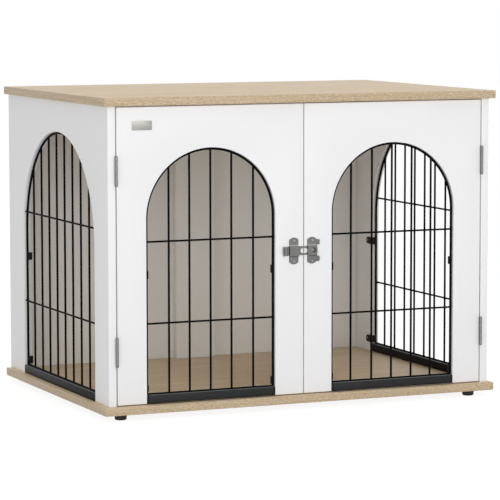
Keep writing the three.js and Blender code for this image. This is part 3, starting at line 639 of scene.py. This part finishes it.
def doors_and_sides():
    """Both doors, which swing, and both side panels, which are part of the cabinet."""
    z = BASE_TOP + DOOR_GAP_TOP
    for name, sense, x in (("left_door", 1, DOOR_GAP_HINGE - INNER_HALF),
                           ("right_door", -1, DOOR_GAP_CENTRE / 2)):
        arched_board(name, "door", name, DOOR_WIDTH, DOOR_HEIGHT, DOOR_WIDTH / 2, sense,
                     (x, FRONT + BOARD, z), (1, 0, 0), (0, -1, 0), ("left", "right"))
    centre, height = SIDE_ARCH_FROM_FRONT, PANEL_HEIGHT - 2 * SEAT
    z = BASE_TOP + SEAT
    arched_board("left_side", "side", "cabinet", BODY_DEPTH, height, BODY_DEPTH - centre, 1,
                 (-INNER_HALF, BACK, z), (0, -1, 0), (-1, 0, 0), ("back", "front"))
    arched_board("right_side", "side", "cabinet", BODY_DEPTH, height, centre, -1,
                 (INNER_HALF, FRONT, z), (0, 1, 0), (1, 0, 0), ("front", "back"))


# ------------------------------------------------------------------ small metal parts


def pan_head(radius, rise):
    """Pan head with a cross recess: height rim + (rise - rim) * (1 - (r / R) ** 4), less a recess 0.8 mm
    deep inside the cross, whose arms are 0.28 R wide and 0.62 R long."""
    sides, rim, sunk = 64, 0.3, 0.2
    arm_reach, arm_half, recess = 0.62, 0.14, 0.8
    r = np.array([0, 0.05, 0.12, 0.16, 0.2, 0.3, 0.4, 0.5, 0.58, 0.64, 0.75, 0.88, 0.96, 1.0])[:, None]
    t = np.linspace(0, 2 * math.pi, sides, endpoint=False)[None, :]
    x, y = r * np.cos(t), r * np.sin(t)
    along_x = np.maximum(abs(x) / arm_reach, abs(y) / arm_half)
    along_y = np.maximum(abs(y) / arm_reach, abs(x) / arm_half)
    cross = np.clip((1.15 - np.minimum(along_x, along_y)) / 0.3, 0, 1)
    z = rim + (rise - rim) * (1 - r ** 4) - recess * cross
    head = np.stack([radius * x, radius * y, z], axis=-1)[::-1].reshape(-1, 3)
    centre, under = np.zeros((sides, 3)), head[:sides] * (1, 1, 0)
    points = np.concatenate([centre - (0, 0, sunk), under - (0, 0, sunk), head])
    return dict(points=points, quads=grid_quads(len(r) + 2, sides, wrap_cols=True), caps=[])


def hinge(end, side, level):
    """Butt hinge: rolled knuckles on a pin in front of the gap, and two leaves that stand in the gap."""
    z = BASE_TOP + HINGE_CENTRES[level] - HINGE_HEIGHT / 2
    pitch = HINGE_HEIGHT / KNUCKLES
    leaf = board(rectangle(FRONT + 0.4, z, FRONT + LEAF_DEPTH, z + HINGE_HEIGHT, 0.6), LEAF_THICK, 0.15)
    leaves = {"cabinet": (INNER_HALF - LEAF_FROM_BOARD, 0, "cabinet"),
              "door": (INNER_HALF - DOOR_GAP_HINGE + LEAF_FROM_BOARD + LEAF_THICK, 1, f"{end}_door")}
    for owner, (face, first, body) in leaves.items():
        x0, x1 = sorted((side * face, side * (face - LEAF_THICK)))
        shapes = [placed(leaf, (x0, 0, 0), (0, 1, 0), (0, 0, 1), (1, 0, 0))]
        for i in range(first, KNUCKLES, 2):
            low, high = z + i * pitch + KNUCKLE_GAP / 2, z + (i + 1) * pitch - KNUCKLE_GAP / 2
            barrel = rounded_cylinder(KNUCKLE_RADIUS, high - low, 0.2)
            shapes.append(placed(barrel, (side * AXIS_X, AXIS_Y, low), *LEVEL))
            strap = board(rectangle(x0, AXIS_Y, x1, FRONT + 1, 0.15), high - low, 0.1)
            shapes.append(placed(strap, (0, 0, low), *LEVEL))
        piece(f"zinc_{end}_{level}_{owner}_leaf", shapes, HINGE_ZINC, body,
              [f"{end}_{level}_hinge_{owner}_leaf"])
    half = HINGE_HEIGHT / 2 + 0.15
    a = np.linspace(0, math.pi / 2, 5)
    head = np.stack([PIN_HEAD_RADIUS * np.cos(a), half + PIN_HEAD_RISE * np.sin(a)], axis=1)
    profile = np.concatenate([head[::-1] * (1, -1), [[PIN_RADIUS, -half], [PIN_RADIUS, half]], head])
    pin = placed(turned(profile, 24), (side * AXIS_X, AXIS_Y, z + HINGE_HEIGHT / 2), *LEVEL)
    piece(f"zinc_{end}_{level}_pin", [pin], HINGE_ZINC, "cabinet", [f"{end}_{level}_hinge_pin"])


def sheet(s, inner, outer, front, back, keep_wall):
    """Half of a pressed sheet, from its middle line or its hole to its edge.
    Across station s the points run from inner(s) to outer(s) on the front and return on the back, so the
    sheet is a closed band; front(s, t) and back(s, t) give the places. keep_wall says at which stations
    the inner side is a real wall, the hole's, and not the middle line where the other half joins on."""
    # Points stand closer together near both sides.
    near = np.linspace(0, 1, 13) ** 1.6 * 0.5
    share = np.concatenate([near, 1 - near[-2::-1]])
    t = inner[:, None] + (outer - inner)[:, None] * share[None, :]
    station = np.broadcast_to(s[:, None], t.shape)
    points = np.concatenate([front(station, t), back(station, t)[:, ::-1]], axis=1)
    cols = points.shape[1]
    quads = grid_quads(len(s), cols, wrap_cols=True)
    wall = quads[:, 0] % cols == cols - 1
    row = quads[:, 0] // cols
    return points.reshape(-1, 3), quads[~wall | (keep_wall[:-1] | keep_wall[1:])[row]]


def both_halves(s, middle, hole, reach, front, back, ends=False):
    """The sheet's two halves, from middle + hole to reach and from middle - hole to -reach, joined on the
    middle line where there is no hole. ends asks for a flat face over each end."""
    points, quads = sheet(s, middle + hole, reach, front, back, hole != 0)
    other = sheet(s, middle - hole, -reach, front, back, hole != 0)[0]
    count = len(points)
    first = np.arange(count // len(s))
    last = first + count - len(first)
    caps = [first[::-1], last, first + count, last[::-1] + count] if ends else []
    joined = np.concatenate([quads, quads[:, ::-1] + count])
    return dict(points=np.concatenate([points, other]), quads=joined, caps=caps)


def rim_drop(distance, edge=0.35):
    """How far the front falls near an edge: edge - sqrt(edge^2 - (edge - distance)^2), a quarter circle."""
    short = np.clip(edge - distance, 0, edge)
    return edge - np.sqrt(edge ** 2 - short ** 2)


def strap_plate(centre, eye=None):
    """Pressed plate with domed ends whose middle is raised into a strap over the bolt.
    Its outline is where a strip PLATE_WIDTH wide meets two discs of PLATE_END_RADIUS, and its height is
    STRAP_RISE * (3 f^2 - 2 f^3), with f running from 0 to 1 up the riser. eye is the hole's (x, radius)."""
    tip = np.array([0, 0.03, 0.1, 0.25, 0.5, 0.9, 1.4, 2.0, 3.0, 4.0, 5.5])
    bend = np.linspace(STRAP_HALF - 0.4, STRAP_HALF + RISER_RUN + 0.4, 11)
    flat = [*np.linspace(-9, 9, 37), 15, -15, 18, -18]
    y = np.unique(np.round(np.concatenate([PLATE_HALF - tip, tip - PLATE_HALF, bend, -bend, flat]), 4))
    arc = PLATE_HALF - PLATE_END_RADIUS
    domed = np.sqrt(np.clip(PLATE_END_RADIUS ** 2 - np.clip(abs(y) - arc, 0, None) ** 2, 0, None))
    half = np.minimum(PLATE_WIDTH / 2, domed)

    def rise(v):
        f = np.clip((STRAP_HALF + RISER_RUN - abs(v)) / RISER_RUN, 0, 1)
        return STRAP_RISE * (3 * f ** 2 - 2 * f ** 3)

    def front(v, u):
        to_tip = PLATE_END_RADIUS - np.hypot(u, np.clip(abs(v) - arc, 0, None))
        side = np.minimum(PLATE_WIDTH / 2 - abs(u), to_tip)
        if eye:
            side = np.minimum(side, np.hypot(u + centre - eye[0], v) - eye[1])
        z = PLATE_BACK + PLATE_THICK + rise(v) - rim_drop(np.clip(side, 0, None))
        return np.stack([u + centre, v, z], axis=-1)

    def back(v, u):
        # On the riser the back follows half a thickness farther in, so that the sheet stays as thick there.
        v_rise = abs(v) + 0.5 * PLATE_THICK * (abs(abs(v) - STRAP_HALF) < RISER_RUN)
        return np.stack([u + centre, v, PLATE_BACK + rise(v_rise)], axis=-1)

    if not eye:
        return both_halves(y, 0, np.zeros_like(y), half, front, back)
    hole = np.sqrt(np.clip(eye[1] ** 2 - y ** 2, 0, None))
    return both_halves(y, eye[0] - centre, hole, half, front, back)


def bolt_shape():
    """Flat bar rolled forward at its left end: along the arc length the middle line runs straight, then
    round the curl as (x - R sin a, z - R cos a), and the sheet lies half its thickness on either side.
    The slot is a stadium, and the dome is a shallow cap."""
    curl = np.linspace(-CURL_TURN * CURL_RADIUS, 0, 30)
    slot = SLOT_HALF * np.sin(np.linspace(-math.pi / 2, math.pi / 2, 33)) - BOLT_LEFT
    dome = DOME_X + np.linspace(-1, 1, 19) * (DOME_RADIUS + 0.2) - BOLT_LEFT
    length = BOLT_RIGHT - BOLT_LEFT
    end = length - np.array([0, 0.05, 0.15, 0.35, 0.7, 1.2, 1.8, 2.6, 3.6, 5.0])
    s = np.unique(np.round(np.concatenate([curl, np.linspace(0, 31, 12), slot, dome, end]), 4))
    x = s + BOLT_LEFT
    in_corner = np.clip(x - BOLT_RIGHT + BOLT_CORNER, 0, BOLT_CORNER)
    outer = BOLT_HALF - BOLT_CORNER + np.sqrt(BOLT_CORNER ** 2 - in_corner ** 2)
    slot_straight = SLOT_HALF - SLOT_RADIUS
    in_round = np.clip(abs(x) - slot_straight, 0, SLOT_RADIUS)
    inner = np.sqrt(SLOT_RADIUS ** 2 - in_round ** 2)
    middle_z = BOLT_BACK + BOLT_THICK / 2

    def lifted(station, v, offset):
        a = np.clip(-station / CURL_RADIUS, 0, None)
        flat_x = np.clip(station, 0, None) + BOLT_LEFT
        px = flat_x - CURL_RADIUS * np.sin(a) + offset * np.sin(a)
        pz = middle_z + CURL_RADIUS * (1 - np.cos(a)) + offset * np.cos(a)
        return np.stack([px, v, pz], axis=-1)

    def front(station, v):
        flat_x = station + BOLT_LEFT
        edge = BOLT_HALF - abs(v)
        near_slot = np.hypot(np.clip(abs(flat_x) - slot_straight, 0, None), v) - SLOT_RADIUS
        drop = rim_drop(np.clip(np.minimum(edge, near_slot), 0, None), 0.3)
        cap = DOME_RISE * np.sqrt(np.clip(1 - (np.hypot(flat_x - DOME_X, v) / DOME_RADIUS) ** 2, 0, 1))
        return lifted(station, v, BOLT_THICK / 2 - drop + cap)

    def back(station, v):
        return lifted(station, v, -BOLT_THICK / 2)

    # The stations run along x here and not along y, so the lower half comes first to keep faces outward.
    return both_halves(s, 0, -inner, -outer, front, back, ends=True)


def ear_shape(sign):
    """Ear of the keeper: a round-cornered tab bent forward from the plate's right edge."""
    sin, cos = math.sin(EAR_BEND), math.cos(EAR_BEND)
    tab = board(rectangle(-EAR_ROOT, -EAR_HALF, EAR_LENGTH, EAR_HALF, EAR_ROUND), PLATE_THICK, 0.3)
    x, z = KEEPER_CENTRE + PLATE_WIDTH / 2, PLATE_BACK + PLATE_THICK
    origin = (x + PLATE_THICK * sin, sign * EAR_CENTRE, z - PLATE_THICK * cos)
    return placed(tab, origin, (cos, 0, sin), (0, 1, 0), (-sin, 0, cos))


def latch():
    """Guide on the left door, keeper on the right door, and the flat bolt that slides through both."""
    def stand(*shapes):
        return [placed(shape, (0, FRONT, LATCH_Z), *FACING_FRONT) for shape in shapes]

    piece("zinc_guide", stand(strap_plate(GUIDE_CENTRE)), ZINC, "left_door", ["bolt_guide"])
    keeper = stand(strap_plate(KEEPER_CENTRE, (EYE_X, EYE_RADIUS)), ear_shape(1), ear_shape(-1))
    piece("zinc_keeper", keeper, ZINC, "right_door", ["bolt_keeper"])
    piece("zinc_bolt", stand(bolt_shape()), ZINC, "sliding_bolt", ["slide_bolt"])
    for owner, x in LATCH_SCREW_X.items():
        for place, y in LATCH_SCREW_Y.items():
            head = placed(pan_head(*LATCH_SCREW), (x, y, PLATE_BACK + PLATE_THICK), *LEVEL)
            piece(f"screw_latch_{owner}_{place}", stand(head), SCREW, owner)


def name_plate():
    """Bare metal plate high on the left door."""
    half_x, half_z = NAME_PLATE_HALF_WIDTH, NAME_PLATE_HALF_HEIGHT
    plate = board(rectangle(-half_x, -half_z, half_x, half_z, 1.2), NAME_PLATE_THICK, 0.35)
    middle = (NAME_PLATE_FROM_LEFT - BODY_HALF, FRONT, BASE_TOP + NAME_PLATE_ABOVE_BASE)
    piece("bare_name_plate", [placed(plate, middle, *FACING_FRONT)], NICKEL, "left_door")


def feet():
    """Turned rubber glides with a rounded tread."""
    a = np.linspace(0, math.pi / 2, 6)
    tread = np.stack([FOOT_TREAD + FOOT_TREAD_ROUND * np.sin(a), FOOT_TREAD_ROUND * (1 - np.cos(a))], axis=1)
    top = FOOT_HEIGHT - SEAT
    profile = [(0, 0), *tread, (11.2, 5.0), (11.9, 8.5), (12.0, 10.9), (11.7, top), (0, top)]
    for end, x in (("left", FOOT_FROM_END - WIDTH / 2), ("right", WIDTH / 2 - FOOT_FROM_END)):
        for edge, y in (("front", FOOT_FROM_EDGE - DEPTH / 2), ("back", DEPTH / 2 - FOOT_FROM_EDGE)):
            shape = placed(turned(profile, 48), (x, y, 0), *LEVEL)
            piece(f"rubber_foot_{edge}_{end}", [shape], RUBBER, "cabinet",
                  [f"foot_{edge}_{end}"])


# ------------------------------------------------------------------ stage


def camera():
    """The photograph's view, from a fit to the table's edges: 23.6 degrees to the left, 5.8 down."""
    data = bpy.data.cameras.new("photo_camera")
    data.lens, data.sensor_width = 194.482, 36.0
    data.clip_end = 60.0
    obj = bpy.data.objects.new("photo_camera", data)
    obj.location = (-2.10211, -4.83662, 0.81424)
    obj.rotation_euler = (math.radians(90 - 5.8487), math.radians(0.0506), math.radians(-23.596))
    bpy.context.scene.collection.objects.link(obj)
    bpy.context.scene.camera = obj


def softbox(name, place, target, size, power):
    """Square area lamp that looks at a point."""
    data = bpy.data.lights.new(name, "AREA")
    data.shape, data.size, data.energy = "SQUARE", size, power
    obj = bpy.data.objects.new(name, data)
    obj.location = place
    direction = np.array(target, float) - np.array(place, float)
    yaw = math.atan2(direction[1], direction[0]) - math.pi / 2
    pitch = math.atan2(np.hypot(direction[0], direction[1]), -direction[2])
    obj.rotation_euler = (pitch, 0, yaw)
    bpy.context.scene.collection.objects.link(obj)


def seen_directly(tree):
    """1 where the eye looks straight at the surface, in a reflection or through glass."""
    rays = add(tree, "ShaderNodeLightPath").outputs
    seen = rays["Is Camera Ray"]
    for kind in ("Is Glossy Ray", "Is Transmission Ray"):
        seen = add(tree, "ShaderNodeMath", {0: seen, 1: rays[kind]}, operation="MAXIMUM").outputs[0]
    return seen


def studio():
    """White surroundings, a white floor that keeps the table's shadow, and soft lamps."""
    world = bpy.data.worlds.new("white_room")
    world.use_nodes = True
    tree = world.node_tree
    tree.nodes.clear()
    lit = add(tree, "ShaderNodeBackground", {"Color": (1, 1, 1, 1), "Strength": 0.57})
    seen = add(tree, "ShaderNodeBackground", {"Color": (1, 1, 1, 1), "Strength": 1.0})
    mixed = add(tree, "ShaderNodeMixShader", {0: seen_directly(tree), 1: lit.outputs[0], 2: seen.outputs[0]})
    add(tree, "ShaderNodeOutputWorld", {"Surface": mixed.outputs[0]})
    bpy.context.scene.world = world

    paper, tree = new_material("white_floor_paper")
    diffuse = add(tree, "ShaderNodeBsdfDiffuse", {"Color": (0.9, 0.9, 0.9, 1)})
    thin = add(tree, "ShaderNodeBsdfDiffuse", {"Color": (0.2, 0.2, 0.2, 1)})
    glow = add(tree, "ShaderNodeEmission", {"Color": (1, 1, 1, 1), "Strength": 0.89})
    bright = add(tree, "ShaderNodeAddShader", {0: thin.outputs[0], 1: glow.outputs[0]})
    mixed = add(tree, "ShaderNodeMixShader", {0: seen_directly(tree), 1: diffuse.outputs[0],
                                              2: bright.outputs[0]})
    add(tree, "ShaderNodeOutputMaterial", {"Surface": mixed.outputs[0]})
    mesh = bpy.data.meshes.new("floor")
    mesh.from_pydata([(-14, -14, 0), (14, -14, 0), (14, 14, 0), (-14, 14, 0)], [], [(0, 1, 2, 3)])
    mesh.materials.append(paper)
    floor = bpy.data.objects.new("floor", mesh)
    bpy.context.scene.collection.objects.link(floor)

    softbox("front_softbox", (-0.2, -4.2, 1.1), (0, 0, 0.3), 3.0, 64)
    softbox("top_softbox", (0.0, -0.6, 3.6), (0, 0, 0.3), 3.0, 21)
    softbox("left_softbox", (-4.0, -2.2, 0.8), (0, 0, 0.3), 2.4, 18)
    bpy.context.scene.view_settings.view_transform = "Standard"


# ------------------------------------------------------------------ the whole table

camera()
tabletop_and_base()
back_boards()
doors_and_sides()
for hinge_end, hinge_side in (("left", -1), ("right", 1)):
    for hinge_level in HINGE_CENTRES:
        hinge(hinge_end, hinge_side, hinge_level)
latch()
name_plate()
feet()
studio()
